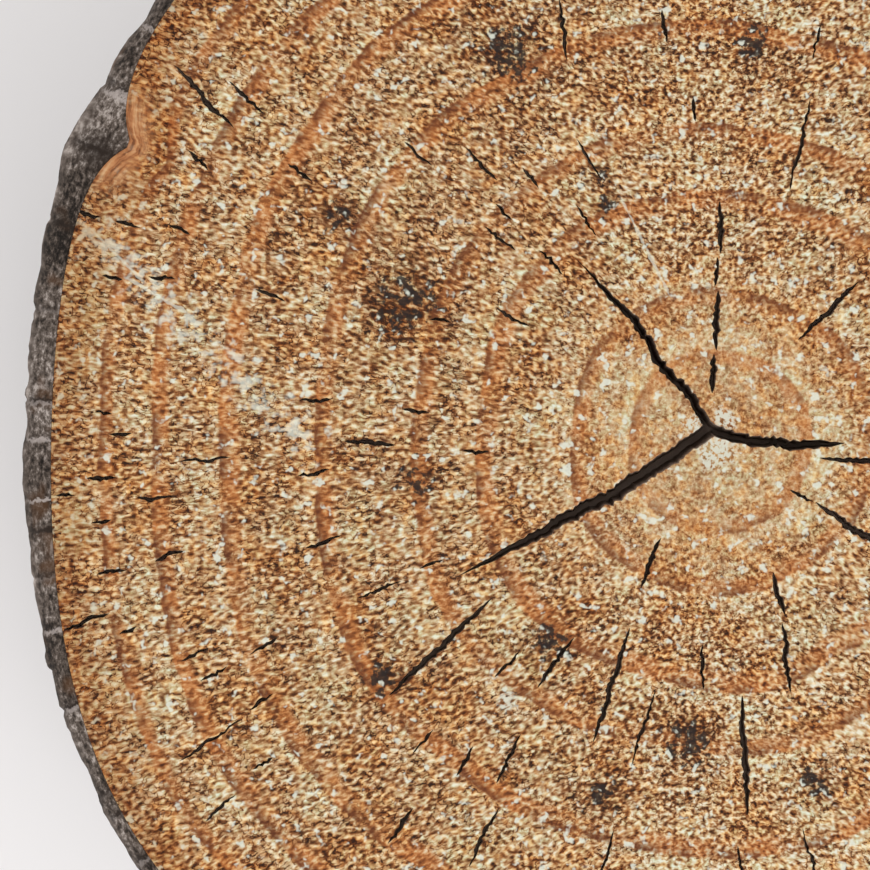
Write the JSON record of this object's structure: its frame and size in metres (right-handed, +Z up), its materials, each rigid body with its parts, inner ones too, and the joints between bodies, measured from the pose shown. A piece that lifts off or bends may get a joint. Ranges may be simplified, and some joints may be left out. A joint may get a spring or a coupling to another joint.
{
  "type": "tree stump seat",
  "caption": "Short length of tree trunk sawn flat at both ends and used as a seat, with a ringed, radially cracked top and furrowed grey bark round its side.",
  "frame": {"origin": "on the floor, under the middle of the stump's outline", "axes": "+Z up to the seat; seen from above with +Y up the page, as in the picture, the bark-filled cleft is at the upper left"},
  "size_m": [0.4112, 0.411, 0.42],
  "materials": {
    "end_grain": "rough-sawn end grain, unsealed",
    "bark": "weathered grey bark"
  },
  "bodies": {
    "root": {"wood": "end_grain", "bark": "bark"}
  },
  "joints": []
}
